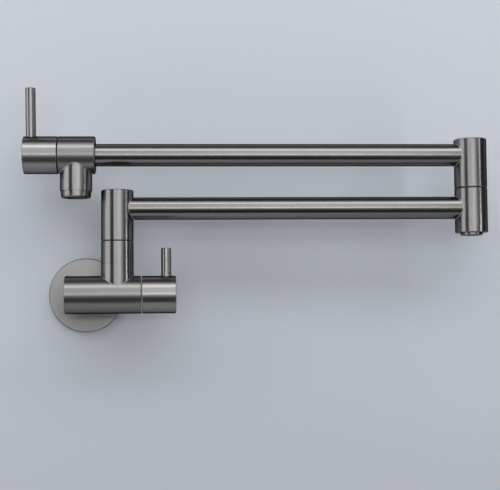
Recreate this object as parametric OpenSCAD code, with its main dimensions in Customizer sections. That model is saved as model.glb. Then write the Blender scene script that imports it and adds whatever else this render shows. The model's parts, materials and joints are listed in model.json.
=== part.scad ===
// Wall mounted pot filler: a wall valve, a folding double arm and a spout with its own valve.
// Millimetres. The origin lies on the wall plane at the inlet axis: +X right, +Y into the wall, +Z up.

/* [Wall side] */
// Distance from the wall to the axis of the valve body
wall_offset = 47; // [44:0.5:60]
// Diameter of the wall flange
flange_d = 61.7; // [56:0.1:80]
// Thickness of the wall flange
flange_t = 5; // [4:0.25:8]
// Width of the foam gasket ring behind the flange
gasket_w = 6; // [4:0.5:8]
// Thickness of the foam gasket
gasket_t = 1.5; // [1:0.1:2]
// Outer diameter of the inlet neck
neck_d = 24; // [23:0.1:26]
// Length of the inlet neck in front of the wall
neck_l = 24; // [22:0.5:27]
// Wall diameter of the half inch inlet thread
inlet_thread_d = 18.6; // [18.2:0.1:19]
// Depth of the inlet thread
inlet_thread_l = 14; // [12:0.5:15]

/* [Wall valve] */
// Diameter of both valve bodies and both handles
body_d = 30.1; // [29:0.1:33]
// Distance from the inlet axis to the closed end of the valve body
body_left_l = 14.3; // [12.5:0.1:20]
// Distance from the inlet axis to the riser axis
riser_offset = 27.2; // [26.5:0.1:40]
// Distance from the riser axis to the front of the valve body
body_front_l = 18.8; // [18.6:0.1:19.4]
// Height of the seam on top of the branch, above the body axis
branch_h = 24.7; // [22:0.1:40]

/* [Posts and swivels] */
// Diameter of the riser and of the elbow
post_d = 25.8; // [25:0.1:29]
// Length of the fixed collar below the lower swivel
collar_l = 17.8; // [14:0.1:30]
// Height of the open groove at each swivel
swivel_gap = 0.6; // [0.5:0.1:1]
// Height of the lower arm's axis above the bottom of its hub
hub_below = 25.7; // [20:0.1:40]
// Height of the hub above the lower arm's axis
hub_above = 14.5; // [12.4:0.1:20]
// Depth of the elbow's lower socket below the lower arm's axis
socket_below = 20.2; // [19:0.1:30]
// Height of the elbow's lower socket above the lower arm's axis
socket_above = 15.6; // [14.6:0.1:25]
// Height of the upper arm's axis above the bottom of its socket
upper_below = 26.8; // [20:0.1:40]
// Height of the upper socket above the upper arm's axis
upper_above = 12.7; // [12.3:0.1:20]
// Diameter of the hollow swivel spindles
spindle_d = 14; // [13.4:0.1:14.6]
// Bore of the swivel spindles
spindle_bore_d = 8.4; // [7:0.1:9]
// Diameter of the plug below the elbow
plug_d = 17.4; // [15:0.1:19]
// Height of the plug that stands proud of the elbow
plug_proud = 2.2; // [1:0.1:4]

/* [Arms] */
// Diameter of both arm tubes
tube_d = 18; // [16:0.1:19]
// Wall of both arm tubes
tube_wall = 1.2; // [0.8:0.1:2]
// Distance from the riser axis to the elbow axis
lower_reach = 286.7; // [200:0.1:400]
// Distance from the elbow axis to the spout axis
upper_reach = 319.5; // [200:0.1:450]
// Angle by which both arms swing away from the wall at rest, in degrees
arm_swing = 1.3; // [0:0.1:12]

/* [Spout] */
// Distance from the spout axis to the front of the spout body
spout_front_l = 13.7; // [13:0.1:15]
// Distance from the spout axis to the end of the spout body at the tube
spout_back_l = 15.3; // [13.6:0.1:20]
// Diameter of the nose
nose_d = 25.6; // [24.6:0.1:26]
// Depth of the nose below the arm's axis
nose_drop = 29; // [27:0.1:40]
// Diameter of the aerator ring
aerator_d = 23.8; // [22.8:0.1:24.4]
// Height of the aerator ring below the nose
aerator_h = 5.3; // [4.6:0.1:9]
// Distance between two opposite sides of one cell in the aerator grille
cell_w = 2; // [1.6:0.1:2.6]
// Thickness of the bars between the cells
cell_bar = 0.5; // [0.4:0.05:0.8]

/* [Handles] */
// Length of each handle cap, with the groove
handle_l = 27.6; // [26:0.1:40]
// Diameter of both levers
lever_d = 8; // [6:0.1:8.6]
// Distance from the end of the wall valve's handle to its lever's axis
shutoff_lever_inset = 7.6; // [5.5:0.1:8]
// Distance from the end of the spout valve's handle to its lever's axis
spout_lever_inset = 5.6; // [5.5:0.1:8]
// Height of the wall valve's lever above the handle's axis
shutoff_lever_h = 37.2; // [25:0.1:80]
// Height of the spout valve's lever above the handle's axis
spout_lever_h = 53.4; // [25:0.1:90]
// Teeth on each stem
spline_teeth = 32; // [24:1:40]
// Angle by which the spout's lever leans forward at rest, in degrees
lever_lean = 5.5; // [0:0.1:20]

/* [Cartridges] */
// Diameter of the bore that holds a cartridge
cartridge_d = 18; // [17:0.1:18.6]
// Length of a cartridge shell
cartridge_l = 16; // [15:0.1:16.4]
// Outer diameter of the gland nut
nut_d = 22; // [21:0.1:24]
// Length of the gland nut
nut_l = 5.4; // [4:0.1:5.6]
// Diameter of the stem
stem_d = 8; // [7:0.1:9]
// Thickness of each ceramic disc
disc_t = 2; // [1.5:0.1:2.4]

/* [Fits] */
// Radial gap of pieces that are seated in each other
seat_fit = 0.05; // [0.02:0.01:0.08]
// Radial gap of pieces that turn in each other
running_fit = 0.08; // [0.05:0.01:0.1]
// Chamfer on the outer edges
edge = 0.4; // [0.2:0.05:0.8]
// Cross section of the O-rings in the swivels
o_ring_cs = 1.3; // [1:0.05:1.5]

/* [Hidden] */
$fn = 96;

// Finishes
gunmetal = [0.42, 0.41, 0.40];
steel = [0.62, 0.62, 0.63];
brass = [0.72, 0.58, 0.32];
rubber = [0.08, 0.08, 0.08];
ceramic = [0.92, 0.92, 0.90];
plastic = [0.16, 0.16, 0.17];

// Overrun of every cut past the face it opens
over = 0.5;

// Wall side
flange_r = flange_d / 2;
flange_edge = 0.6;
flange_fit = 0.15;
flange_rim_w = 2;
gasket_fit = 0.1;
neck_r = neck_d / 2;
spigot_wall = 3;
spigot_l = 7;
inlet_way_r = 6;
inlet_washer_t = 1.4;
inlet_washer_wall = 2.6;
strainer_t = 0.7;
strainer_hole_d = 1.4;
strainer_pitch = 2.2;
strainer_rings = 2;
inlet_seat_t = strainer_t + inlet_washer_t;
inlet_seat_step = 0.7;
inlet_seat_r = inlet_thread_d / 2 - inlet_seat_step;
flange_o_cs = 1.8;
o_ring_fit = 0.05;

// Valve bodies, seen from the front plane: each depth runs inward
body_r = body_d / 2;
front_x = riser_offset + body_front_l;
bore_r = cartridge_d / 2;
nut_r = nut_d / 2;
nut_setback = 0.6;
nut_end = nut_setback + nut_l;
shell_end = nut_end + cartridge_l;
seal_t = 1.4;
valve_depth = shell_end + seal_t;
valve_port_r = 4;
way_r = 6;

// Cartridge
shell_r = bore_r - seat_fit;
shell_land = 3.4;
shell_cap_t = 2;
waist_cut = 1.4;
chamber_wall = 2.5;
chamber_r = bore_r - chamber_wall;
window_w = 7;
window_l = 6.4;
disc_gap = 0.1;
fixed_disc_z = shell_end - disc_t;
moving_disc_z = fixed_disc_z - disc_gap - disc_t;
disc_r = chamber_r - running_fit;
disc_port_in = disc_r / 4;
disc_port_out = disc_r * 5 / 6;
disc_port_half = 38;
stem_r = stem_d / 2;
stem_head_r = chamber_r - 4 * disc_gap;
stem_head_t = 2;
seal_wall = 4;
nut_slot_w = 3;
nut_slot_t = 2;

// Handle
handle_gap = 0.6;
handle_wall = 2.6;
handle_hollow = 8;
boss_wall = 2.6;
stem_out_l = 14.5;
spline_l = 10.5;
boss_top = stem_out_l - spline_l + handle_gap / 2;
tooth_h = 0.35;
root_shares = [0.1, 0.4];
tip_shares = [0.6, 0.9];
grub_r = 2;
grub_l = 6;
grub_gap = 0.1;
grub_z = stem_out_l - 3 * grub_r / 2;
grub_key_w = 2;
grub_key_l = 2;
lever_r = lever_d / 2;
lever_floor = 1.5;
lever_root = stem_r + lever_floor;
one_tooth = 360 / spline_teeth;

// Swivels, seen from an arm's axis: each offset runs up and down alike
post_r = post_d / 2;
spindle_r = spindle_d / 2;
spindle_bore_r = spindle_bore_d / 2;
swivel_bore_r = spindle_r + running_fit;
foot_step = 1;
foot_r = spindle_r + foot_step;
foot_bore_r = foot_r + seat_fit;
arm_port_r = 5.5;
cross_port_r = 3.2;
cross_waist = 0.9;
o_ring_land = 1.1;
o_ring_off = arm_port_r + o_ring_land + o_ring_cs / 2;
shoulder_off = o_ring_off + o_ring_cs / 2 + o_ring_land;
ring_gap = 0.15;
ring_t = 0.8;
ring_groove_depth = 0.8;
ring_out = 2.2;
ring_slot_w = 4;
ring_room = 0.4;
spindle_end = 0.55;
spindle_top_off = shoulder_off + ring_gap + ring_t + spindle_end;
cap_t = 1.6;
cap_rim = 2.3;
washer_t = swivel_gap * 3 / 4;
washer_setback = 1;
foot_seat_l = 8;
foot_o_ring_z = 3.5;

// Heights
branch_seat_z = body_r + 2;
lower_joint_z = branch_h + collar_l;
hub_z = lower_joint_z + swivel_gap;
lower_axis_z = hub_z + hub_below;
hub_top_z = lower_axis_z + hub_above;
socket_z = lower_axis_z - socket_below;
elbow_joint_z = lower_axis_z + socket_above;
upper_socket_z = elbow_joint_z + swivel_gap;
upper_axis_z = upper_socket_z + upper_below;
elbow_top_z = upper_axis_z + upper_above;
elbow_seat_z = elbow_joint_z - foot_seat_l;

// Fold: the upper arm lies over the lower one, swung out only where the nose would meet the riser
fold_gap = 2;
fold_reach = post_r + nose_d / 2 + fold_gap;
fold_beyond = sqrt(lower_reach * lower_reach + fold_reach * fold_reach);
fold_cosine = (lower_reach * lower_reach + upper_reach * upper_reach - fold_reach * fold_reach)
    / (2 * lower_reach * upper_reach);
arm_fold = upper_reach >= lower_reach + fold_reach ? 0
    : upper_reach >= fold_beyond ? acos(fold_cosine)
    : asin(fold_reach / upper_reach);

// Tubes
tube_r = tube_d / 2;
tube_bore_r = tube_r - tube_wall;
seat_land = 0.3;
tube_seat_x = sqrt(post_r * post_r - tube_r * tube_r) - seat_land;
spout_seat_l = 3.8;
seat_mouth = 0.5;

// Plug
plug_r = plug_d / 2;
plug_l = 10;
plug_key_w = 8;
plug_key_l = 5;
plug_o_ring_z = 5;

// Spout
nose_r = nose_d / 2;
aerator_r = aerator_d / 2;
aerator_thread_wall = 1.7;
aerator_thread_r = nose_r - aerator_thread_wall;
aerator_thread_l = 8;
aerator_seat_l = 10;
aerator_wall = 1.4;
aerator_lip = 0.8;
aerator_lip_t = 0.9;
aerator_bevel = 0.9;
aerator_groove = 0.35;
grille_t = 3;
grille_rim = 0.7;
screen_t = 0.5;
screen_hole_d = 0.9;
screen_pitch = 1.7;
aerator_washer_t = 1.6;
aerator_washer_wall = 2.4;
aerator_in_r = aerator_thread_r - aerator_wall;

// Places
module from_wall() rotate([90, 0, 0]) children();
module at_body() translate([0, -wall_offset, 0]) children();
module at_riser() translate([riser_offset, -wall_offset, 0]) children();
module at_lower_arm() at_riser() rotate([0, 0, -arm_swing]) children();
module at_elbow() at_lower_arm() translate([lower_reach, 0, 0]) children();
module at_upper_arm() at_elbow() rotate([0, 0, arm_fold]) children();
module at_spout() at_upper_arm() translate([-upper_reach, 0, upper_axis_z]) children();
// Valve frames: local Z runs inward from the front plane and local X runs up
module at_shutoff() translate([front_x, -wall_offset, 0]) rotate([0, -90, 0]) children();
module at_spout_valve() at_spout() translate([-spout_front_l, 0, 0]) rotate([0, 90, 0])
    rotate([0, 0, 180]) children();
module along_x() rotate([0, 90, 0]) children();

// Basic turned forms
module turned(r, z0, z1, e)
    rotate_extrude()
        polygon([[0, z0], [r - e, z0], [r, z0 + e], [r, z1 - e], [r - e, z1], [0, z1]]);
module bore(r, z0, z1) translate([0, 0, z0]) cylinder(r = r, h = z1 - z0);
module ring(r_in, r_out, z0, z1)
    difference() {
        bore(r_out, z0, z1);
        bore(r_in, z0 - over, z1 + over);
    }
module torus(r, cs, z)
    translate([0, 0, z])
        rotate_extrude()
            translate([r, 0])
                circle(d = cs);
module mouth(r, z, e)
    rotate_extrude()
        polygon([[0, z + over], [r + e + over, z + over], [r, z - e], [0, z - e]]);

// Wall side
module wall_flange() color(gunmetal) from_wall()
    difference() {
        rotate_extrude()
            polygon([
                [neck_r + flange_fit, 0], [flange_r, 0], [flange_r, flange_t - flange_edge],
                [flange_r - flange_edge, flange_t], [neck_r + flange_fit, flange_t]
            ]);
        ring(flange_r - flange_rim_w - gasket_w, flange_r - flange_rim_w, -over, gasket_t);
        ring(neck_r, neck_r + flange_o_cs + 2 * o_ring_fit, flange_t / 2 - flange_o_cs / 2 - o_ring_fit,
            flange_t / 2 + flange_o_cs / 2 + o_ring_fit);
    }

module flange_gasket() color(rubber) from_wall()
    ring(flange_r - flange_rim_w - gasket_w + gasket_fit, flange_r - flange_rim_w - gasket_fit, 0, gasket_t);

module flange_o_ring() color(rubber) from_wall()
    torus(neck_r + o_ring_fit + flange_o_cs / 2, flange_o_cs, flange_t / 2);

module inlet_neck() color(gunmetal) from_wall()
    difference() {
        union() {
            bore(neck_r, 0, neck_l);
            bore(neck_r - spigot_wall - seat_fit, 0, neck_l + spigot_l);
        }
        bore(inlet_thread_d / 2, -over, inlet_thread_l);
        bore(inlet_seat_r, 0, inlet_thread_l + inlet_seat_t);
        bore(inlet_way_r, 0, neck_l + spigot_l + over);
    }

module inlet_washer() color(rubber) from_wall()
    ring(inlet_seat_r - inlet_washer_wall, inlet_seat_r - seat_fit, inlet_thread_l + strainer_t,
        inlet_thread_l + inlet_seat_t);

module inlet_strainer() color(steel) from_wall()
    difference() {
        bore(inlet_seat_r - seat_fit, inlet_thread_l, inlet_thread_l + strainer_t);
        translate([0, 0, inlet_thread_l - over])
            linear_extrude(strainer_t + 2 * over)
                hex_places(strainer_pitch, strainer_rings)
                    circle(d = strainer_hole_d);
    }

// Places on a triangular grid inside a number of rings
module hex_places(pitch, rings)
    for (row = [-rings : rings])
        for (col = [max(-rings, -rings - row) : min(rings, rings - row)])
            translate([pitch * (col + row / 2), pitch * row * sin(60)])
                children();

// Wall valve
module valve_body() color(gunmetal)
    difference() {
        union() {
            at_body() along_x() turned(body_r, -body_left_l, front_x, edge);
            from_wall() bore(neck_r, neck_l, wall_offset);
            at_riser() bore(post_r, 0, branch_h);
        }
        at_shutoff() valve_cavity();
        at_body() along_x() bore(way_r, -way_r, front_x - valve_depth + over);
        from_wall() bore(inlet_way_r, neck_l, wall_offset);
        from_wall() bore(neck_r - spigot_wall, neck_l - over, neck_l + spigot_l);
        at_riser() bore(valve_port_r, 0, branch_h);
        at_riser() bore(foot_bore_r, branch_seat_z, branch_h + over);
    }

module valve_cavity() {
    bore(nut_r, -over, nut_end);
    bore(bore_r, 0, valve_depth);
}

module swivel_collar() color(gunmetal) at_riser()
    difference() {
        turned(post_r, branch_h, lower_joint_z, edge / 2);
        bore(foot_bore_r, branch_h - over, lower_joint_z + over);
    }

// Swivel spindle: a foot seated below the joint, a hollow journal above it and cross ports at the arm
module spindle(seat_z, joint_z, axis_z)
    difference() {
        union() {
            bore(foot_r, seat_z, joint_z);
            bore(spindle_r, seat_z, axis_z + spindle_top_off);
        }
        bore(spindle_bore_r, seat_z - over, axis_z + arm_port_r);
        o_ring_groove(foot_bore_r, seat_z + foot_o_ring_z);
        for (side = [-1, 1])
            o_ring_groove(swivel_bore_r, axis_z + side * o_ring_off);
        ring(spindle_r - cross_waist, spindle_r + over, axis_z - cross_port_r, axis_z + cross_port_r);
        ring(spindle_r - ring_groove_depth, spindle_r + over, axis_z + shoulder_off + ring_gap - seat_fit,
            axis_z + shoulder_off + ring_gap + ring_t + seat_fit);
        for (turn = [0, 90])
            translate([0, 0, axis_z])
                rotate([0, 90, turn])
                    cylinder(r = cross_port_r, h = 2 * foot_r, center = true);
    }

module o_ring_groove(r, z)
    ring(r - o_ring_cs - 2 * o_ring_fit, r + over, z - o_ring_cs / 2 - o_ring_fit,
        z + o_ring_cs / 2 + o_ring_fit);

module spindle_o_rings(seat_z, axis_z) {
    torus(foot_bore_r - o_ring_fit - o_ring_cs / 2, o_ring_cs, seat_z + foot_o_ring_z);
    for (side = [-1, 1])
        torus(swivel_bore_r - o_ring_fit - o_ring_cs / 2, o_ring_cs, axis_z + side * o_ring_off);
}

module retaining_ring(axis_z)
    difference() {
        ring(spindle_r - ring_groove_depth + seat_fit, spindle_r + ring_out, axis_z + shoulder_off + ring_gap,
            axis_z + shoulder_off + ring_gap + ring_t);
        translate([0, -ring_slot_w / 2, axis_z + shoulder_off])
            cube([2 * post_r, ring_slot_w, 2 * ring_t + ring_gap]);
    }

module swivel_washer(joint_z)
    ring(spindle_r + ring_gap, post_r - washer_setback, joint_z, joint_z + washer_t);

module lower_spindle() color(brass) at_riser() spindle(branch_seat_z, lower_joint_z, lower_axis_z);
module lower_spindle_o_rings() color(rubber) at_riser() spindle_o_rings(branch_seat_z, lower_axis_z);
module lower_swivel_washer() color(plastic) at_riser() swivel_washer(lower_joint_z);
module lower_retaining_ring() color(steel) at_riser() retaining_ring(lower_axis_z);

// Cartridge, in a valve frame
module cartridge_shell()
    difference() {
        bore(shell_r, nut_end, shell_end);
        ring(shell_r - waist_cut, shell_r + over, nut_end + shell_land, shell_end - disc_t);
        bore(stem_r + running_fit, nut_end - over, shell_end);
        bore(chamber_r, nut_end + shell_cap_t, shell_end + over);
        translate([-bore_r, -window_w / 2, moving_disc_z - window_l])
            cube([2 * bore_r, window_w, window_l]);
    }

module gland_nut()
    difference() {
        bore(nut_r - seat_fit, nut_setback, nut_end);
        bore(stem_r + 3 * running_fit, nut_setback - over, nut_end + over);
        for (turn = [0, 90])
            rotate([0, 0, turn])
                translate([-nut_r, -nut_slot_w / 2, nut_setback - over])
                    cube([2 * nut_r, nut_slot_w, nut_slot_t + over]);
    }

module disc_ports()
    intersection() {
        difference() {
            circle(r = disc_port_out);
            circle(r = disc_port_in);
        }
        for (side = [-1, 1])
            polygon([
                [0, 0],
                side * disc_r * [cos(disc_port_half), sin(disc_port_half)],
                side * disc_r * [cos(disc_port_half), -sin(disc_port_half)]
            ]);
    }

module ceramic_disc(r, z, turn)
    translate([0, 0, z])
        rotate([0, 0, turn])
            linear_extrude(disc_t)
                difference() {
                    circle(r = r);
                    disc_ports();
                }

module seat_seal() ring(bore_r - seal_wall, bore_r - seat_fit, shell_end, valve_depth);

// Stem: drive head on the moving disc, plain journal, then a splined end in the handle
module stem()
    union() {
        bore(stem_r, -stem_out_l + spline_l, moving_disc_z);
        bore(stem_head_r, moving_disc_z - stem_head_t, moving_disc_z);
        translate([0, 0, -stem_out_l])
            linear_extrude(spline_l + over)
                spline_outline(-seat_fit);
    }

module spline_outline(grow) {
    root = stem_r - tooth_h + grow;
    tip = stem_r + grow;
    polygon([
        for (i = [0 : spline_teeth - 1])
            each concat(
                [for (share = root_shares) root * [cos((i + share) * one_tooth), sin((i + share) * one_tooth)]],
                [for (share = tip_shares) tip * [cos((i + share) * one_tooth), sin((i + share) * one_tooth)]]
            )
    ]);
}

// Handle cap: a turned cup with a splined boss, a lever seat on top and a grub screw below
module handle_cap(lever_inset)
    difference() {
        turned(body_r, -handle_l, -handle_gap, edge);
        ring(stem_r + boss_wall, body_r - handle_wall, -handle_hollow, 0);
        bore(stem_r + boss_wall, -boss_top, 0);
        translate([0, 0, -stem_out_l - over])
            linear_extrude(stem_out_l + over)
                spline_outline(seat_fit);
        translate([0, 0, -handle_l + lever_inset])
            along_x()
                bore(lever_r + seat_fit, lever_root, body_r + over);
        translate([0, 0, -grub_z])
            along_x()
                bore(grub_r + seat_fit, -body_r - over, 0);
    }

module lever(lever_inset, lever_h)
    translate([0, 0, -handle_l + lever_inset])
        along_x()
            turned(lever_r, lever_root, lever_h, edge);

module grub_screw()
    translate([0, 0, -grub_z])
        rotate([0, -90, 0])
            difference() {
                bore(grub_r, stem_r + grub_gap, stem_r + grub_gap + grub_l);
                translate([0, 0, stem_r + grub_gap + grub_l - grub_key_l])
                    cylinder(d = grub_key_w / cos(30), h = grub_key_l + over, $fn = 6);
            }

module shutoff_cartridge() color(brass) at_shutoff() cartridge_shell();
module shutoff_gland_nut() color(brass) at_shutoff() gland_nut();
module shutoff_fixed_disc() color(ceramic) at_shutoff() ceramic_disc(disc_r, fixed_disc_z, 0);
module shutoff_seat_seal() color(rubber) at_shutoff() seat_seal();
module shutoff_moving_disc() color(ceramic) at_shutoff() ceramic_disc(disc_r - disc_gap, moving_disc_z, 90);
module shutoff_stem() color(brass) at_shutoff() stem();
module shutoff_handle_cap() color(gunmetal) at_shutoff() handle_cap(shutoff_lever_inset);
module shutoff_lever() color(gunmetal) at_shutoff() lever(shutoff_lever_inset, shutoff_lever_h);
module shutoff_grub_screw() color(steel) at_shutoff() grub_screw();

// Arms
module tube_seat(side)
    rotate([0, 0, side < 0 ? 180 : 0])
        along_x() {
            bore(arm_port_r, 0, tube_seat_x + over);
            bore(tube_r + seat_fit, tube_seat_x, post_r + over);
        }

module swivel_hub(z0, axis_z, z1, side)
    difference() {
        turned(post_r, z0, z1, edge);
        bore(swivel_bore_r, z0 - over, axis_z + shoulder_off);
        bore(spindle_r + ring_out + ring_room, axis_z + shoulder_off, z1 - cap_t);
        bore(post_r - cap_rim, z1 - cap_t, z1 + over);
        translate([0, 0, axis_z]) tube_seat(side);
    }

module hub_cap(z1) turned(post_r - cap_rim - seat_fit, z1 - cap_t, z1, edge / 2);

module arm_tube(x0, x1)
    along_x()
        ring(tube_bore_r, tube_r, x0, x1);

module lower_arm_hub() color(gunmetal) at_lower_arm() swivel_hub(hub_z, lower_axis_z, hub_top_z, 1);
module lower_hub_cap() color(gunmetal) at_lower_arm() hub_cap(hub_top_z);
module lower_tube() color(gunmetal) at_lower_arm() translate([0, 0, lower_axis_z])
    arm_tube(tube_seat_x, lower_reach - tube_seat_x);

module elbow_lower_socket() color(gunmetal) at_elbow()
    difference() {
        turned(post_r, socket_z, elbow_joint_z, edge);
        bore(plug_r + seat_fit, socket_z - over, socket_z + plug_l);
        bore(arm_port_r, socket_z, elbow_joint_z);
        bore(foot_bore_r, elbow_seat_z, elbow_joint_z + over);
        translate([0, 0, lower_axis_z]) tube_seat(-1);
    }

module elbow_plug() color(gunmetal) at_elbow()
    difference() {
        turned(plug_r, socket_z - plug_proud, socket_z + plug_l, edge);
        translate([0, 0, socket_z - plug_proud - over])
            cylinder(d = plug_key_w / cos(30), h = plug_key_l + over, $fn = 6);
        o_ring_groove(plug_r + seat_fit, socket_z + plug_o_ring_z);
    }

module elbow_plug_seal() color(rubber) at_elbow()
    torus(plug_r + seat_fit - o_ring_fit - o_ring_cs / 2, o_ring_cs, socket_z + plug_o_ring_z);

module elbow_spindle() color(brass) at_elbow() spindle(elbow_seat_z, elbow_joint_z, upper_axis_z);
module elbow_spindle_o_rings() color(rubber) at_elbow() spindle_o_rings(elbow_seat_z, upper_axis_z);
module elbow_swivel_washer() color(plastic) at_elbow() swivel_washer(elbow_joint_z);
module elbow_retaining_ring() color(steel) at_elbow() retaining_ring(upper_axis_z);

module elbow_upper_socket() color(gunmetal) at_upper_arm()
    swivel_hub(upper_socket_z, upper_axis_z, elbow_top_z, -1);
module elbow_top_cap() color(gunmetal) at_upper_arm() hub_cap(elbow_top_z);
module upper_tube() color(gunmetal) at_spout()
    arm_tube(spout_back_l - spout_seat_l, upper_reach - tube_seat_x);

// Spout
module spout_body() color(gunmetal)
    difference() {
        union() {
            at_spout() along_x() turned(body_r, -spout_front_l, spout_back_l, edge);
            at_spout() rotate([180, 0, 0]) bore(nose_r, 0, nose_drop);
        }
        at_spout_valve() valve_cavity();
        at_spout() along_x() {
            bore(way_r, 0, spout_back_l);
            bore(tube_r + seat_fit, spout_back_l - spout_seat_l, spout_back_l + over);
            mouth(tube_r + seat_fit, spout_back_l, seat_mouth);
        }
        at_spout() rotate([180, 0, 0]) {
            bore(valve_port_r, 0, nose_drop);
            bore(aerator_thread_r, nose_drop - aerator_seat_l, nose_drop + over);
        }
    }

// Aerator frame: local Z runs down from the end of the nose
module at_aerator() at_spout() translate([0, 0, -nose_drop]) rotate([180, 0, 0]) children();

module aerator_housing() color(gunmetal) at_aerator()
    difference() {
        union() {
            rotate_extrude()
                polygon([
                    [0, aerator_groove], [aerator_r, aerator_groove], [aerator_r, aerator_h - aerator_bevel],
                    [aerator_r - aerator_bevel, aerator_h], [0, aerator_h]
                ]);
            bore(aerator_thread_r - seat_fit, -aerator_thread_l, aerator_h / 2);
        }
        bore(aerator_in_r, -aerator_thread_l - over, aerator_h - aerator_lip_t);
        bore(aerator_in_r - aerator_lip, 0, aerator_h + over);
    }

module aerator_grille() color(plastic) at_aerator()
    translate([0, 0, aerator_h - aerator_lip_t - grille_t])
        linear_extrude(grille_t)
            difference() {
                circle(r = aerator_in_r - seat_fit);
                intersection() {
                    circle(r = aerator_in_r - aerator_lip - grille_rim);
                    hex_places(cell_w + cell_bar, ceil(aerator_in_r / (cell_w + cell_bar)))
                        rotate(30)
                            circle(d = cell_w / cos(30), $fn = 6);
                }
            }

module aerator_screen() color(steel) at_aerator()
    translate([0, 0, aerator_h - aerator_lip_t - grille_t - screen_t])
        linear_extrude(screen_t)
            difference() {
                circle(r = aerator_in_r - seat_fit);
                hex_places(screen_pitch, floor((aerator_in_r - grille_rim) / screen_pitch - 1 / 2))
                    circle(d = screen_hole_d);
            }

module aerator_washer() color(rubber) at_aerator()
    ring(aerator_thread_r - aerator_washer_wall, aerator_thread_r - seat_fit,
        -aerator_thread_l - aerator_washer_t, -aerator_thread_l);

module spout_cartridge() color(brass) at_spout_valve() cartridge_shell();
module spout_gland_nut() color(brass) at_spout_valve() gland_nut();
module spout_fixed_disc() color(ceramic) at_spout_valve() ceramic_disc(disc_r, fixed_disc_z, 0);
module spout_seat_seal() color(rubber) at_spout_valve() seat_seal();
module spout_moving_disc() color(ceramic) at_spout_valve() ceramic_disc(disc_r - disc_gap, moving_disc_z, 90);
module spout_stem() color(brass) at_spout_valve() rotate([0, 0, lever_lean]) stem();
module spout_handle_cap() color(gunmetal) at_spout_valve() rotate([0, 0, lever_lean])
    handle_cap(spout_lever_inset);
module spout_lever() color(gunmetal) at_spout_valve() rotate([0, 0, lever_lean])
    lever(spout_lever_inset, spout_lever_h);
module spout_grub_screw() color(steel) at_spout_valve() rotate([0, 0, lever_lean]) grub_screw();

wall_flange();
flange_gasket();
flange_o_ring();
inlet_neck();
inlet_washer();
inlet_strainer();
valve_body();
swivel_collar();
lower_spindle();
lower_spindle_o_rings();
lower_swivel_washer();
lower_retaining_ring();
shutoff_cartridge();
shutoff_gland_nut();
shutoff_fixed_disc();
shutoff_seat_seal();
shutoff_handle_cap();
shutoff_lever();
shutoff_grub_screw();
shutoff_stem();
shutoff_moving_disc();
lower_arm_hub();
lower_hub_cap();
lower_tube();
elbow_lower_socket();
elbow_plug();
elbow_plug_seal();
elbow_spindle();
elbow_spindle_o_rings();
elbow_swivel_washer();
elbow_retaining_ring();
elbow_upper_socket();
elbow_top_cap();
upper_tube();
spout_body();
aerator_housing();
aerator_grille();
aerator_screen();
aerator_washer();
spout_cartridge();
spout_gland_nut();
spout_fixed_disc();
spout_seat_seal();
spout_handle_cap();
spout_lever();
spout_grub_screw();
spout_stem();
spout_moving_disc();
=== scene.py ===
# %% [markdown]
# # A wall mounted pot filler, from solid model to picture
#
# The part arrives as finished solids: a wall valve, a folding double arm and a spout, all in metres and all in one
# frame. This lesson adds what solids lack: a camera, soft light, and finishes that look like brushed gunmetal, rubber,
# brass and plastic. Every cell can be run after the one before it.

import json
import math

import bmesh
import bpy
from mathutils import Matrix, Vector


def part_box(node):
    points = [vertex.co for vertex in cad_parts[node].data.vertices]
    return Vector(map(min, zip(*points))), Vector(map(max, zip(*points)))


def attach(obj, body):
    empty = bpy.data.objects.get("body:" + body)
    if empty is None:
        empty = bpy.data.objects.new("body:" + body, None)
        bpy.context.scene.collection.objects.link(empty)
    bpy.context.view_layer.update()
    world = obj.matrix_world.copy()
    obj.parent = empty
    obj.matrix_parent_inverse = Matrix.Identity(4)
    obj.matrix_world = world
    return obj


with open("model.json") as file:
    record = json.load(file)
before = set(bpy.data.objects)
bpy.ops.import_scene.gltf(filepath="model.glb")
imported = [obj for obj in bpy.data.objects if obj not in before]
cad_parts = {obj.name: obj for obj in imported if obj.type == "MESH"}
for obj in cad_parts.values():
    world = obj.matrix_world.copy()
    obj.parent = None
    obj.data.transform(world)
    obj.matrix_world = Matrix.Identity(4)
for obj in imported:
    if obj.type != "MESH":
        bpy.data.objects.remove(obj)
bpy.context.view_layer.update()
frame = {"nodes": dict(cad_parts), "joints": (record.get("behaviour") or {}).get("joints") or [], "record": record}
nodes = frame["nodes"]

# %% [markdown]
# ## The axes that everything was turned on
#
# Nearly every piece of this tap comes off a lathe, so each has an axis: the brushing runs round it, and later the
# finish has to know where it is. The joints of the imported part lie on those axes, which saves measuring them again. A
# joint gives a point and a direction, and they stay right if the part is packed with other sizes. Only the flange and
# the neck behind it have an axis without a joint: it starts at the frame's own zero and runs into the wall.

# %% Read the axes from the joints
MM = 0.001
UP = Vector((0, 0, 1))
TOWARD_WALL = Vector((0, 1, 0))
INLET_POINT = Vector((0, 0, 0))
joints = {joint["name"]: joint for joint in frame["joints"]}


def joint_line(name):
    """The point and the direction of a joint."""
    joint = joints[name]
    return Vector(joint["pos_m"]), Vector(joint["axis"]).normalized()


riser_point, _ = joint_line("lower_arm_swivel")
elbow_point, _ = joint_line("elbow_swivel")
valve_point, valve_axis = joint_line("shutoff_lever_turn")
spout_point, arm_axis = joint_line("spout_lever_turn")
print("riser", riser_point, "elbow", elbow_point, "spout", spout_point)

# %% [markdown]
# ## The camera
#
# The photograph was taken from about 0.8 m away, a little to the left of the middle and looking slightly up. It was
# cropped afterwards, so the middle of the picture is no longer where the lens pointed. A small lens shift says the
# same. The three vectors below are the camera's own right, up and forward directions. A camera in Blender looks along
# its minus Z axis, so the last column of its matrix is minus forward.

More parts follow.
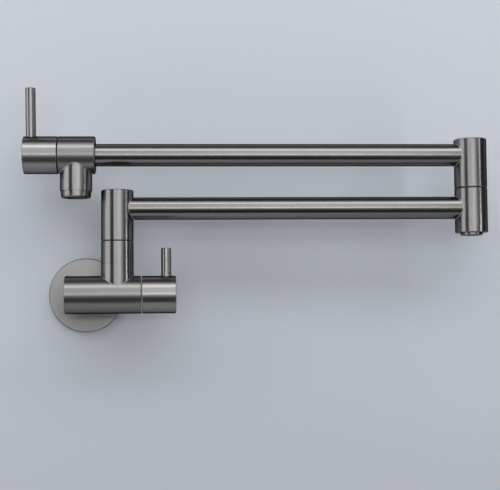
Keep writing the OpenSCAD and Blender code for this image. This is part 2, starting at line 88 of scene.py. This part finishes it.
# %% Place the camera
CAMERA_PLACE = Vector((0.047777, -0.80798, -0.00296))
CAMERA_RIGHT = Vector((0.99770692, -0.06734376, -0.00676140))
CAMERA_UP = Vector((0.00343337, -0.04941226, 0.99877257))
CAMERA_FORWARD = Vector((0.06759519, 0.99650552, 0.04904773))
SENSOR_WIDTH = 36
LENS = 68.477
SHIFT_X = 0.0846
SHIFT_Y = 0.0125
CLIP_START = 0.01
camera_data = bpy.data.cameras.new("camera")
camera_data.sensor_width = SENSOR_WIDTH
camera_data.lens = LENS
camera_data.shift_x = SHIFT_X
camera_data.shift_y = SHIFT_Y
camera_data.clip_start = CLIP_START
camera = bpy.data.objects.new("camera", camera_data)
bpy.context.scene.collection.objects.link(camera)
turn = Matrix((CAMERA_RIGHT, CAMERA_UP, -CAMERA_FORWARD)).transposed()
camera.matrix_world = Matrix.Translation(CAMERA_PLACE) @ turn.to_4x4()
bpy.context.scene.camera = camera
print("camera lens", camera_data.lens, "mm at", camera.location)

# %% [markdown]
# ## Small tools for materials
#
# A procedural material is a chain of nodes, and a few helpers keep the chains readable. One makes a node and fills in
# its settings, and one makes a fresh material and hands back its tree and its main shader. Plain numbers go straight
# onto the shader's own sockets, where every exporter can read them.

# %% Helpers that make nodes and materials


def fill_input(tree, socket, value):
    """Link an input to the output of another node, or set its number, colour or vector."""
    if isinstance(value, bpy.types.NodeSocket):
        tree.links.new(value, socket)
    else:
        socket.default_value = value


def add_node(tree, kind, inputs=None, **settings):
    """Make one node. Inputs are numbers, colours, vectors or the output of another node."""
    made = tree.nodes.new(kind)
    for name, value in settings.items():
        setattr(made, name, value)
    for key, value in (inputs or {}).items():
        fill_input(tree, made.inputs[key], value)
    return made


def new_material(name, **sockets):
    """A material with a Principled shader, its plain values already on its sockets."""
    material = bpy.data.materials.new(name)
    material.use_nodes = True
    shader = material.node_tree.nodes["Principled BSDF"]
    for socket, value in sockets.items():
        shader.inputs[socket.replace("_", " ")].default_value = value
    return material, material.node_tree, shader


print("first helpers ready")

# %% [markdown]
# ## Sums, blends and grain
#
# The other helpers each stand for one kind of node that comes back again and again: sums with numbers and vectors, a
# value stretched from one range to another, a blend, a noise and a bump. The Mix node has one set of sockets for
# colours and one for vectors under the same names, so its sockets are found by their identifiers.

# %% Helpers for one kind of node each
MIX_SOCKETS = {"RGBA": "Color", "VECTOR": "Vector"}


def math_node(tree, operation, *values):
    """A sum with numbers, and its result."""
    return add_node(tree, "ShaderNodeMath", dict(enumerate(values)), operation=operation).outputs[0]


def vector_node(tree, operation, *values):
    """A sum with vectors, and its result."""
    made = add_node(tree, "ShaderNodeVectorMath", dict(enumerate(values)), operation=operation)
    return made.outputs["Value"] if operation in ("DOT_PRODUCT", "LENGTH") else made.outputs["Vector"]


def scale_vector(tree, vector, factor):
    """A vector times a number."""
    made = add_node(tree, "ShaderNodeVectorMath", {0: vector, "Scale": factor}, operation="SCALE")
    return made.outputs["Vector"]


def map_range(tree, value, old, new):
    """Stretch a value from one range to another, and stop at its ends."""
    keys = {"Value": value, "From Min": old[0], "From Max": old[1], "To Min": new[0], "To Max": new[1]}
    return add_node(tree, "ShaderNodeMapRange", keys).outputs["Result"]


def mix(tree, kind, factor, first, second):
    """Blend two colours (RGBA) or two vectors (VECTOR)."""
    made = add_node(tree, "ShaderNodeMix", data_type=kind)
    ending = MIX_SOCKETS[kind]
    sockets = {socket.identifier: socket for socket in made.inputs}
    fill_input(tree, sockets["Factor_Float"], factor)
    fill_input(tree, sockets["A_" + ending], first)
    fill_input(tree, sockets["B_" + ending], second)
    return next(socket for socket in made.outputs if socket.identifier == "Result_" + ending)


def place_on_part(tree):
    """The shaded point's place, in metres in the part's frame."""
    return add_node(tree, "ShaderNodeTexCoord").outputs["Object"]


def noise(tree, place, settings):
    """The grey value of a noise texture."""
    return add_node(tree, "ShaderNodeTexNoise", {"Vector": place, **settings}).outputs["Fac"]


def relief(tree, shader, height, strength, distance):
    """Give a shader a fine bump."""
    bump = add_node(tree, "ShaderNodeBump", {"Height": height, "Strength": strength, "Distance": distance})
    tree.links.new(bump.outputs["Normal"], shader.inputs["Normal"])


print("all helpers ready")

# %% [markdown]
# ## Paint, and a flat sheet to put it on
#
# The flange lies on a painted wall. A flat sheet would do, but real plaster has a faint roller texture, so the paint
# gets a fine bump from a noise. The sheet is filled in between its corners and, if it has one, the edge of an opening.
# Its faces are turned so that they look to the front, because later the wall has to know its front from its back.

# %% Matt paint and flat sheets
PAINT_ROUGHNESS = 0.9
PAINT_GLOSS = 0.2
ROLLER_GRAIN = {"Scale": 900, "Detail": 3}
ROLLER_BUMP = 0.08
ROLLER_DEPTH = 0.4 * MM


def painted(name, colour):
    """Matt paint with a fine roller texture."""
    material, tree, shader = new_material(name, Base_Color=colour, Roughness=PAINT_ROUGHNESS,
                                          Specular_IOR_Level=PAINT_GLOSS)
    relief(tree, shader, noise(tree, place_on_part(tree), ROLLER_GRAIN), ROLLER_BUMP, ROLLER_DEPTH)
    return material, tree, shader


def sheet(name, corners, front, material, opening=()):
    """A flat sheet, from its corners, its front and the points round an opening."""
    shape = bmesh.new()
    edges = []
    for loop in (corners, opening):
        points = [shape.verts.new(corner) for corner in loop]
        edges += [shape.edges.new(pair) for pair in zip(points, points[1:] + points[:1])]
    bmesh.ops.triangle_fill(shape, use_beauty=True, edges=edges)
    bmesh.ops.reverse_faces(shape, faces=[face for face in shape.faces if face.normal.dot(front) < 0])
    mesh = bpy.data.meshes.new(name)
    shape.to_mesh(mesh)
    shape.free()
    made = bpy.data.objects.new(name, mesh)
    bpy.context.scene.collection.objects.link(made)
    mesh.materials.append(material)
    return made


print("roller texture", ROLLER_DEPTH / MM, "mm deep")

# %% [markdown]
# ## The wall and the floor
#
# The wall is pale grey with a little blue in it, and a little wider than the arms can reach. Seen from behind it is
# clear, so that the back of the tap can be looked at: the Backfacing output picks between paint and a transparent
# shader. A real wall also has an opening for the supply pipe, which the flange covers, so the sheet gets one too. The
# floor far below is a plain pale sheet of the same kind.

# %% Make the wall and the floor
WALL_COLOUR = (0.533, 0.56, 0.615, 1)
FLOOR_COLOUR = (0.70, 0.70, 0.70, 1)
WALL_LEFT = -0.75
WALL_RIGHT = 0.75
WALL_TOP = 0.5
WALL_Y = 0.2 * MM
OPENING_R = 27 * MM
OPENING_POINTS = 64
FLOOR_Z = -0.60
FLOOR_FRONT = -0.57
FLOOR_BACK = 1.2
FLOOR_HALF_W = 2.0
wall_paint, wall_tree, wall_shader = painted("wall_paint", WALL_COLOUR)
behind = add_node(wall_tree, "ShaderNodeNewGeometry").outputs["Backfacing"]
clear = add_node(wall_tree, "ShaderNodeBsdfTransparent").outputs["BSDF"]
either = add_node(wall_tree, "ShaderNodeMixShader", {0: behind, 1: wall_shader.outputs["BSDF"], 2: clear})
wall_tree.links.new(either.outputs["Shader"], wall_tree.nodes["Material Output"].inputs["Surface"])
around = [2 * math.pi * k / OPENING_POINTS for k in range(OPENING_POINTS)]
opening = [(OPENING_R * math.cos(a), WALL_Y, OPENING_R * math.sin(a)) for a in around]
wall_corners = [(WALL_LEFT, WALL_Y, FLOOR_Z), (WALL_RIGHT, WALL_Y, FLOOR_Z), (WALL_RIGHT, WALL_Y, WALL_TOP),
                (WALL_LEFT, WALL_Y, WALL_TOP)]
wall = sheet("wall", wall_corners, -TOWARD_WALL, wall_paint, opening)
floor_paint, _, _ = painted("floor_paint", FLOOR_COLOUR)
floor_corners = [(-FLOOR_HALF_W, FLOOR_FRONT, FLOOR_Z), (FLOOR_HALF_W, FLOOR_FRONT, FLOOR_Z),
                 (FLOOR_HALF_W, FLOOR_BACK, FLOOR_Z), (-FLOOR_HALF_W, FLOOR_BACK, FLOOR_Z)]
floor = sheet("floor", floor_corners, UP, floor_paint)
print("wall", wall.dimensions, "floor", floor.dimensions)

# %% [markdown]
# ## A lamp that fills a window of the sky
#
# What we see on a metal tube is a picture of the room, squeezed into stripes. So the lamps are flat soft boxes, each
# given by the window of the sky that it fills, in degrees, as seen from the valve: 0 is straight out from the wall,
# and plus is right or up. That way a stripe's edges can be read off the photograph and typed in. The brightness is
# that of the lamp's face, so the same number looks equally bright on a large box and on a thin one.

# %% Make a soft box
VALVE_SPOT = Vector((riser_point.x, riser_point.y, 0))


def sky_direction(azimuth, elevation):
    """The direction of a point in the sky, seen from the valve."""
    a = math.radians(azimuth)
    e = math.radians(elevation)
    return Vector((math.sin(a) * math.cos(e), -math.cos(a) * math.cos(e), math.sin(e)))


def soft_box(name, left, right, low, high, distance, brightness):
    """A flat lamp that fills a window of the sky, at a distance from the valve."""
    outward = sky_direction((left + right) / 2, (low + high) / 2)
    lamp = bpy.data.lights.new(name, "AREA")
    lamp.shape = "RECTANGLE"
    lamp.size = 2 * distance * math.tan(math.radians(right - left) / 2) * math.cos(math.radians(low + high) / 2)
    lamp.size_y = 2 * distance * math.tan(math.radians(high - low) / 2)
    lamp.energy = brightness * math.pi * lamp.size * lamp.size_y
    made = bpy.data.objects.new(name, lamp)
    bpy.context.scene.collection.objects.link(made)
    made.matrix_world = Matrix.Translation(VALVE_SPOT + outward * distance) @ (
        outward.to_track_quat("Z", "Y").to_matrix().to_4x4())
    made.visible_camera = False
    return made


print("lamps hang round", VALVE_SPOT)

# %% [markdown]
# ## Hang the lamps
#
# The bright stripe near the top of each tube is a long lamp overhead. The broad one in the middle is a large soft box
# behind the camera, with a thin bright line low in it. The upright posts show a gap between that box and a second one
# on the left, and the fine line near the right edge of each post is a narrow upright lamp, stronger in its lower part.
# Where boxes overlap their light adds up, and a dimmer one beside a box makes its edge fade. The stripes on the elbow
# sit at other places than those on the riser, which tells how near the lamps hang: less than a step away. The last
# one stands behind the wall and only lights the tap's back. The room itself stays dim.

# %% Hang the soft boxes and dim the room
SOFT_BOXES = [
    # Name, left, right, low and high edge in degrees, distance in metres, brightness
    ("front_box", -25, 30, -2, 40, 1.0, 1.38),
    ("side_box", 30, 44, -2, 40, 1.0, 0.65),
    ("side_fade", 44, 66, 3, 45, 1.0, 0.22),
    ("glow_box", 5, 24, -2, 40, 1.3, 0.45),
    ("low_box", -25, 37, -13, -2, 1.0, 0.45),
    ("top_strip", -62, 62, 44, 61, 0.9, 3.0),
    ("top_fade", -62, 62, 61, 76, 0.9, 0.9),
    ("left_box", -93, -52, -30, 40, 0.8, 1.65),
    ("right_strip_low", 67, 70, -14, 7, 0.58, 12.0),
    ("right_strip_high", 67, 70, 13, 45, 0.58, 4.5),
    ("middle_strip", -25, 37, 5, 7, 0.98, 5.5),
    ("back_box", 150, 210, -25, 35, 1.2, 1.2),
]
ROOM_COLOUR = (0.06, 0.06, 0.063, 1)
for box_values in SOFT_BOXES:
    soft_box(*box_values)
room = bpy.data.worlds.new("room")
room.use_nodes = True
room.node_tree.nodes["Background"].inputs["Color"].default_value = ROOM_COLOUR
bpy.context.scene.world = room
bpy.context.scene.view_settings.view_transform = "Standard"
print(len(SOFT_BOXES), "soft boxes")

# %% [markdown]
# ## Brushed gunmetal
#
# The stainless tubes are brushed on a belt while they turn, then coated dark grey. The belt leaves fine scratches that
# run round the piece, so light spreads along the tube and stays sharp across it. In Blender that is anisotropy: the
# shader needs to know the direction of the scratches, which is the cross product of the axis and the place on the
# piece. The same place, stretched a hundred times along the axis, feeds the noise that draws the scratches. All of it
# sits in one node group, so that each piece only has to give its own axis and centre.

# %% A node group for turned pieces
STRETCH = 100
lathe = bpy.data.node_groups.new("lathe", "ShaderNodeTree")
lathe.interface.new_socket("Axis", in_out="INPUT", socket_type="NodeSocketVector")
lathe.interface.new_socket("Centre", in_out="INPUT", socket_type="NodeSocketVector")
lathe.interface.new_socket("Round", in_out="OUTPUT", socket_type="NodeSocketVector")
lathe.interface.new_socket("Scratch", in_out="OUTPUT", socket_type="NodeSocketVector")
lathe.interface.new_socket("Radius", in_out="OUTPUT", socket_type="NodeSocketFloat")
lathe_in = add_node(lathe, "NodeGroupInput")
lathe_out = add_node(lathe, "NodeGroupOutput")
offset = vector_node(lathe, "SUBTRACT", place_on_part(lathe), lathe_in.outputs["Centre"])
along = vector_node(lathe, "DOT_PRODUCT", offset, lathe_in.outputs["Axis"])
outward = vector_node(lathe, "SUBTRACT", offset, scale_vector(lathe, lathe_in.outputs["Axis"], along))
radius = vector_node(lathe, "LENGTH", outward)
round_axis = vector_node(lathe, "CROSS_PRODUCT", lathe_in.outputs["Axis"], offset)
to_world = add_node(lathe, "ShaderNodeVectorTransform", {"Vector": round_axis}, vector_type="VECTOR",
                    convert_from="OBJECT", convert_to="WORLD")
across = math_node(lathe, "ADD", along, radius)
squeezed = scale_vector(lathe, lathe_in.outputs["Axis"], math_node(lathe, "MULTIPLY", across, STRETCH))
scratch = vector_node(lathe, "ADD", squeezed, outward)
lathe.links.new(vector_node(lathe, "NORMALIZE", to_world.outputs["Vector"]), lathe_out.inputs["Round"])
lathe.links.new(scratch, lathe_out.inputs["Scratch"])
lathe.links.new(radius, lathe_out.inputs["Radius"])


def lathe_node(tree, axis, centre):
    """The outputs of the node group, set to one piece's axis and centre."""
    return add_node(tree, "ShaderNodeGroup", {"Axis": axis, "Centre": centre}, node_tree=lathe).outputs


print("node group", lathe.name, "with", len(lathe.nodes), "nodes")

# %% [markdown]
# ## The layers of the finish
#
# Three layers of noise make the scratches: a fine one for the grain, a coarser one for the passes of the belt, and an
# unstretched one for the faint unevenness of the coating and the places that hands touch. They vary the colour, the
# roughness and a very shallow bump. A Bevel node finds the edges, where the coating wears thin and the steel shows
# lighter: its rounded normal no longer agrees with the flat one there. A tone above or below 1 makes a whole piece a
# little lighter or darker, because no two pieces take the coating quite alike.

# %% Noise, edge wear and bump
GUNMETAL_DARK = (0.205, 0.204, 0.202)
GUNMETAL_LIGHT = (0.245, 0.243, 0.241)
WORN_STEEL = (0.42, 0.41, 0.40, 1)
GRAIN = {"Scale": 70, "Detail": 4, "Roughness": 0.65}
PASSES = {"Scale": 14, "Detail": 2}
HANDLED = {"Scale": 38, "Detail": 3}
GRAIN_SHARE = 0.6
PASSES_SHARE = 0.4
COLOUR_NOISE = (0.2, 0.8)
GRAIN_NOISE = (0.3, 0.7)
HANDLED_NOISE = (0.35, 0.65)
GRAIN_ROUGHNESS = (-0.004, 0.006)
HANDLED_ROUGHNESS = (-0.005, 0.01)
WEAR_R = 0.4 * MM
WEAR_SAMPLES = 4
WEAR_NOISE = 0.06
WEAR_AGREEMENT = (0.95, 0.78)
WEAR_STRENGTH = (0, 0.3)
SCRATCH_BUMP = 0.03
SCRATCH_DEPTH = 0.05 * MM


def toned(colour, tone):
    """A colour made lighter or darker, with its fourth value."""
    return tuple(tone * c for c in colour) + (1,)


def edge_wear(tree, handled):
    """How worn the coating is: nothing on the faces, more at the edges."""
    rounded = add_node(tree, "ShaderNodeBevel", {"Radius": WEAR_R}, samples=WEAR_SAMPLES).outputs["Normal"]
    flat = add_node(tree, "ShaderNodeNewGeometry").outputs["Normal"]
    agreement = vector_node(tree, "DOT_PRODUCT", rounded, flat)
    uneven = math_node(tree, "SUBTRACT", agreement, math_node(tree, "MULTIPLY", handled, WEAR_NOISE))
    return map_range(tree, uneven, WEAR_AGREEMENT, WEAR_STRENGTH)


def gunmetal_layers(tree, shader, turned, scratch, roughness, tone):
    """Noise, edge wear and bump between the lathe directions and the shader."""
    grain = noise(tree, scratch, GRAIN)
    passes = noise(tree, scratch, PASSES)
    handled = noise(tree, place_on_part(tree), HANDLED)
    both = math_node(tree, "MULTIPLY_ADD", passes, PASSES_SHARE, math_node(tree, "MULTIPLY", grain, GRAIN_SHARE))
    coat = mix(tree, "RGBA", map_range(tree, both, COLOUR_NOISE, (0, 1)), toned(GUNMETAL_DARK, tone),
               toned(GUNMETAL_LIGHT, tone))
    tree.links.new(mix(tree, "RGBA", edge_wear(tree, handled), coat, WORN_STEEL), shader.inputs["Base Color"])
    uneven = math_node(tree, "ADD", map_range(tree, grain, GRAIN_NOISE, GRAIN_ROUGHNESS),
                       map_range(tree, handled, HANDLED_NOISE, HANDLED_ROUGHNESS))
    tree.links.new(math_node(tree, "ADD", roughness, uneven), shader.inputs["Roughness"])
    relief(tree, shader, both, SCRATCH_BUMP, SCRATCH_DEPTH)
    tree.links.new(turned, shader.inputs["Tangent"])


print("gunmetal from", GUNMETAL_DARK, "to", GUNMETAL_LIGHT)

# %% [markdown]
# ## One material for each turned piece
#
# The material asks for an axis and a point on it, sets the group to them and adds the layers. A piece may have
# branches that were turned on axes of their own. There the directions change over beyond the main body's radius, on
# the side where the branch stands. A black specular tint makes the metal go dark where it is seen at a flat angle, as
# coated steel does.

# %% Brushed gunmetal
ANISOTROPY = 0.7
QUARTER_TURN = 0.25
NO_TINT = (0, 0, 0, 1)


def brushed_gunmetal(name, roughness, axis, centre, branches=(), tone=1.0):
    """Gunmetal for a piece turned on one axis, with branches that have an axis and a roughness of their own."""
    material, tree, shader = new_material(name, Metallic=1.0, Anisotropic=ANISOTROPY,
                                          Anisotropic_Rotation=QUARTER_TURN, Specular_Tint=NO_TINT)
    main = lathe_node(tree, axis, centre)
    turned = main["Round"]
    scratch = main["Scratch"]
    shine = roughness
    for reach, side, branch_axis, branch_centre, branch_roughness in branches:
        other = lathe_node(tree, branch_axis, branch_centre)
        height = vector_node(tree, "DOT_PRODUCT", vector_node(tree, "SUBTRACT", place_on_part(tree), centre), side)
        chosen = math_node(tree, "MULTIPLY", math_node(tree, "GREATER_THAN", main["Radius"], reach),
                           math_node(tree, "GREATER_THAN", height, reach / 2))
        turned = mix(tree, "VECTOR", chosen, turned, other["Round"])
        scratch = mix(tree, "VECTOR", chosen, scratch, other["Scratch"])
        shine = math_node(tree, "MULTIPLY_ADD", chosen, branch_roughness - roughness, shine)
    gunmetal_layers(tree, shader, turned, scratch, shine, tone)
    return material


def dress(names, material):
    """Put one material on some of the part's own pieces."""
    for name in names:
        nodes[name].data.materials.clear()
        nodes[name].data.materials.append(material)


print("anisotropy", ANISOTROPY)

# %% [markdown]
# ## Which piece was turned on which axis
#
# The posts stand on vertical axes, the tubes lie along the arms, and the two valve bodies lie on the levers' axes. Each
# valve body carries a post that was turned by itself and then brazed on, so it has branches. The spout's lever leans a
# few degrees forward of upright, so its axis isn't vertical. The mesh itself says which way it points: the mean of its
# top vertices minus the mean of its lowest ones.

# %% Dress the gunmetal pieces
FLANGE_ROUGHNESS = 0.38
BODY_ROUGHNESS = 0.34
CAP_ROUGHNESS = 0.29
POST_ROUGHNESS = 0.25
LEVER_ROUGHNESS = 0.22
TUBE_ROUGHNESS = 0.19
FLANGE_TONE = 1.35
CAP_TONE = 1.2
SEAM = 0.03 * MM


def half_size(name):
    """Half of a piece's size along each of the three axes."""
    low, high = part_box(name)
    return (high - low) / 2


def long_axis(name):
    """Middle and direction of a rod, from the vertices nearest its two ends."""
    points = sorted((v.co.copy() for v in nodes[name].data.vertices), key=lambda p: p.z)
    count = len(points) // 4
    low = sum(points[:count], Vector()) / count
    high = sum(points[-count:], Vector()) / count
    return (low + high) / 2, (high - low).normalized()


BODY_R = half_size("shutoff_handle_cap").z
beyond = BODY_R + SEAM
shutoff_low, shutoff_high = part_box("shutoff_lever")
spout_lever_point, spout_lever_axis = long_axis("spout_lever")
TURNED = [
    # Material, pieces, axis, a point on it, roughness, tone
    ("gunmetal_shutoff", ["shutoff_handle_cap"], valve_axis, valve_point, CAP_ROUGHNESS, CAP_TONE),
    ("gunmetal_riser", ["swivel_collar", "lower_arm_hub", "lower_hub_cap"], UP, riser_point, POST_ROUGHNESS, 0.94),
    ("gunmetal_elbow", ["elbow_lower_socket", "elbow_plug", "elbow_upper_socket", "elbow_top_cap"], UP, elbow_point,
     POST_ROUGHNESS, 0.9),
    ("gunmetal_lower_tube", ["lower_tube"], arm_axis, riser_point, TUBE_ROUGHNESS, 0.92),
    ("gunmetal_upper_tube", ["upper_tube"], arm_axis, spout_point, TUBE_ROUGHNESS, 0.94),
    ("gunmetal_spout_handle", ["spout_handle_cap"], arm_axis, spout_point, CAP_ROUGHNESS, CAP_TONE),
    ("gunmetal_aerator", ["aerator_housing"], UP, spout_point, POST_ROUGHNESS, 0.95),
    ("gunmetal_shutoff_lever", ["shutoff_lever"], UP, (shutoff_low + shutoff_high) / 2, LEVER_ROUGHNESS, 1.0),
    ("gunmetal_spout_lever", ["spout_lever"], spout_lever_axis, spout_lever_point, LEVER_ROUGHNESS, 1.0),
]
for name, pieces, axis, point, roughness, tone in TURNED:
    dress(pieces, brushed_gunmetal(name, roughness, axis, point, tone=tone))
flange_finish = brushed_gunmetal("gunmetal_wall", FLANGE_ROUGHNESS, TOWARD_WALL, INLET_POINT, tone=FLANGE_TONE)
dress(["wall_flange", "inlet_neck"], flange_finish)
dress(["valve_body"], brushed_gunmetal("gunmetal_valve", BODY_ROUGHNESS, valve_axis, valve_point, [
    (beyond, UP, UP, riser_point, POST_ROUGHNESS), (beyond, TOWARD_WALL, TOWARD_WALL, INLET_POINT, BODY_ROUGHNESS)]))
dress(["spout_body"], brushed_gunmetal("gunmetal_spout", BODY_ROUGHNESS, arm_axis, spout_point, [
    (beyond, -UP, UP, spout_point, POST_ROUGHNESS)]))
print("valve body radius", round(BODY_R / MM, 2), "mm")
print("the spout's lever leans", round(math.degrees(spout_lever_axis.angle(UP)), 2), "degrees")

# %% [markdown]
# ## A painted shadow line round the flange
#
# Where the flange's edge turns over to the wall, its last half millimetre lies in shade, and that shade is painted
# into the colour as a fine dark line round the disc. The lathe group already gives the distance from the axis. So
# two comparisons, one with the flange's own radius and one with its front, find the place, and the colour that was
# there is mixed with a dark one.

# %% Paint shade on the flange's rim
RIM_SHADE_WIDTH = 0.45 * MM
# The dark rim colour is painted shade, not a colour of the coating.
RIM_SHADE_COLOUR = (0.03, 0.03, 0.03, 1)
flange_r = half_size("wall_flange").x
flange_front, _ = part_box("wall_flange")
flange_tree = flange_finish.node_tree
flange_colour = flange_tree.nodes["Principled BSDF"].inputs["Base Color"]
from_axis = lathe_node(flange_tree, TOWARD_WALL, INLET_POINT)["Radius"]
depth = vector_node(flange_tree, "DOT_PRODUCT", place_on_part(flange_tree), TOWARD_WALL)
at_edge = math_node(flange_tree, "GREATER_THAN", from_axis, flange_r - RIM_SHADE_WIDTH)
at_front = math_node(flange_tree, "LESS_THAN", depth, flange_front.y + RIM_SHADE_WIDTH)
painted_rim_shade = math_node(flange_tree, "MULTIPLY", at_edge, at_front)
brushed_colour = flange_colour.links[0].from_socket
# Mix the dark colour into the rim: painted shade where the edge turns over to the wall.
flange_tree.links.new(mix(flange_tree, "RGBA", painted_rim_shade, brushed_colour, RIM_SHADE_COLOUR), flange_colour)
print("flange radius", round(flange_r / MM, 2), "mm, dark beyond", round((flange_r - RIM_SHADE_WIDTH) / MM, 2), "mm")

# %% [markdown]
# ## Bright braze
#
# A tube that runs into a post is cut to a saddle and brazed, and the filler leaves a thin rounded bead along the
# joint. It shows as the fine bright line round the foot of each tube, where the bead catches the light. The bead's
# metal is much paler than the coated steel, partly filler and partly a painted glint, with a fine ripple from the way
# it froze, so one noise drives its colour, its roughness and its relief.

# %% The metal of the beads, with a painted glint
# The bead colours are paler than the coated steel: partly filler metal, partly a painted glint along the joint.
BRAZE_TINT = (0.5, 0.5, 0.5, 1)
BRAZE_GLINT_LOW = (0.30, 0.30, 0.29, 1)
BRAZE_GLINT_HIGH = (0.56, 0.55, 0.54, 1)
BRAZE_RIPPLE = {"Scale": 900, "Detail": 3}
BRAZE_NOISE = (0.3, 0.7)
BRAZE_ROUGHNESS = (0.24, 0.38)
BRAZE_BUMP = 0.15
BRAZE_DEPTH = 0.2 * MM
braze_with_painted_glint, braze_tree, braze_shader = new_material("braze_with_painted_glint", Metallic=1.0, Specular_Tint=BRAZE_TINT)
ripple = noise(braze_tree, place_on_part(braze_tree), BRAZE_RIPPLE)
braze_tree.links.new(mix(braze_tree, "RGBA", ripple, BRAZE_GLINT_LOW, BRAZE_GLINT_HIGH), braze_shader.inputs["Base Color"])
braze_tree.links.new(map_range(braze_tree, ripple, BRAZE_NOISE, BRAZE_ROUGHNESS), braze_shader.inputs["Roughness"])
relief(braze_tree, braze_shader, ripple, BRAZE_BUMP, BRAZE_DEPTH)
print("braze from", BRAZE_GLINT_LOW[:3], "to", BRAZE_GLINT_HIGH[:3])

# %% [markdown]
# ## Braze beads where the pieces meet
#
# The path of a bead has a formula: it lies on the small pipe, at the depth where the big one begins. Blender's boolean
# tools could find it too, but a formula gives even points, and a small ring of vertices at each point makes a clean
# bead. Each ring stands across the path, in the corner between the two pipes.

# %% A bead along a saddle
BEAD_R = 0.42 * MM
BEAD_STEPS = 72
BEAD_SIDES = 8


def bead_ring(shape, crossing, angle, small_axis, small_r, big_axis, big_r):
    """The vertices of one ring of a bead, at an angle round the small pipe."""
    side_axis = small_axis.cross(big_axis).normalized()
    aside = small_r * math.sin(angle)
    depth = math.sqrt(big_r ** 2 - aside ** 2)
    out = math.cos(angle) * big_axis + math.sin(angle) * side_axis
    spot = crossing + small_r * out + depth * small_axis
    lift = (depth * small_axis + aside * side_axis).normalized()
    first = (out + lift).normalized()
    second = small_axis.cross(out).cross(first).normalized()
    turns = [2 * math.pi * k / BEAD_SIDES for k in range(BEAD_SIDES)]
    return [shape.verts.new(spot + BEAD_R * (math.cos(a) * first + math.sin(a) * second)) for a in turns]


def saddle_bead(name, body, crossing, small_axis, small_r, big_axis, big_r):
    """A bead where a small pipe leaves a big one at a right angle. The crossing is where their axes meet."""
    shape = bmesh.new()
    angles = [2 * math.pi * step / BEAD_STEPS for step in range(BEAD_STEPS)]
    rings = [bead_ring(shape, crossing, angle, small_axis, small_r, big_axis, big_r) for angle in angles]
    for ring, following in zip(rings, rings[1:] + rings[:1]):
        for k in range(BEAD_SIDES):
            n = (k + 1) % BEAD_SIDES
            shape.faces.new((ring[k], ring[n], following[n], following[k]))
    bmesh.ops.recalc_face_normals(shape, faces=shape.faces)
    for face in shape.faces:
        face.smooth = True
    mesh = bpy.data.meshes.new(name)
    shape.to_mesh(mesh)
    shape.free()
    # The bead's pale metal is partly a painted glint.
    mesh.materials.append(braze_with_painted_glint)
    made = bpy.data.objects.new(name, mesh)
    bpy.context.scene.collection.objects.link(made)
    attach(made, body)
    return made


POST_R = half_size("swivel_collar").x
TUBE_R = half_size("upper_tube").z
valve_crossing = Vector((riser_point.x, riser_point.y, valve_point.z))
lower_elbow_crossing = Vector((elbow_point.x, elbow_point.y, riser_point.z))
upper_elbow_crossing = Vector((elbow_point.x, elbow_point.y, spout_point.z))
beads = [
    saddle_bead("branch_bead", "wall_valve", valve_crossing, UP, POST_R, valve_axis, BODY_R),
    saddle_bead("nose_bead", "upper_arm", spout_point, -UP, POST_R, arm_axis, BODY_R),
    saddle_bead("riser_tube_bead", "lower_arm", riser_point, arm_axis, TUBE_R, UP, POST_R),
    saddle_bead("elbow_lower_bead", "lower_arm", lower_elbow_crossing, -arm_axis, TUBE_R, UP, POST_R),
    saddle_bead("elbow_upper_bead", "upper_arm", upper_elbow_crossing, -arm_axis, TUBE_R, UP, POST_R),
]
print(len(beads), "beads, post radius", round(POST_R / MM, 2), "mm, tube radius", round(TUBE_R / MM, 2), "mm")

# %% [markdown]
# ## Rubber, foam, brass, steel, ceramic and plastic
#
# These finishes are inside or show only at a groove or from behind, but each still gets its own grain: seals are matt
# with a fine moulded texture, the gasket is closed cell foam, the spindles and cartridges are turned brass, and the
# discs are lapped ceramic. One helper makes them all, and a table holds what differs. The record says which piece
# wears which finish, so the table goes by the record's own slot names.

# %% The other finishes
BROAD = {"Scale": 60, "Detail": 2}
FINE_DETAIL = 4
BROAD_SHARE = 0.5
FINE_SHARE = 0.5
TINT_NOISE = (0.35, 0.65)
ROUGH_NOISE = (0.3, 0.7)
DEPTH_SHARE = 0.25
FINISHES = {
    # Slot: dark, light, roughness, size of the grain, bump, metallic
    "rubber_seal": ((0.018, 0.018, 0.018, 1), (0.035, 0.034, 0.033, 1), (0.55, 0.8), 0.25 * MM, 0.3, 0.0),
    "gasket_foam": ((0.03, 0.03, 0.03, 1), (0.09, 0.09, 0.09, 1), (0.8, 1.0), 0.4 * MM, 0.6, 0.0),
    "turned_brass": ((0.52, 0.42, 0.27, 1), (0.66, 0.55, 0.38, 1), (0.2, 0.36), 0.3 * MM, 0.1, 1.0),
    "stainless_inner": ((0.50, 0.50, 0.50, 1), (0.64, 0.64, 0.63, 1), (0.22, 0.4), 0.3 * MM, 0.1, 1.0),
    "ceramic_disc": ((0.80, 0.79, 0.76, 1), (0.88, 0.87, 0.85, 1), (0.12, 0.2), 0.1 * MM, 0.05, 0.0),
    "black_plastic": ((0.022, 0.022, 0.024, 1), (0.04, 0.04, 0.043, 1), (0.35, 0.5), 0.2 * MM, 0.2, 0.0),
}


def grainy(name, dark, light, roughness, size, bump, metallic):
    """A finish whose colour, roughness and relief follow one noise."""
    material, tree, shader = new_material(name, Metallic=metallic)
    place = place_on_part(tree)
    fine = noise(tree, place, {"Scale": 1 / size, "Detail": FINE_DETAIL})
    broad = noise(tree, place, BROAD)
    both = math_node(tree, "MULTIPLY_ADD", broad, BROAD_SHARE, math_node(tree, "MULTIPLY", fine, FINE_SHARE))
    tree.links.new(mix(tree, "RGBA", map_range(tree, both, TINT_NOISE, (0, 1)), dark, light),
                   shader.inputs["Base Color"])
    tree.links.new(map_range(tree, both, ROUGH_NOISE, roughness), shader.inputs["Roughness"])
    relief(tree, shader, fine, bump, size * DEPTH_SHARE)
    return material


for slot, values in FINISHES.items():
    finish = grainy(slot, *values)
    wearing = [subpart["node"] for subpart in frame["record"]["subparts"] if subpart["material_slot"] == slot]
    dress(wearing, finish)
    print(slot, "on", len(wearing), "pieces")
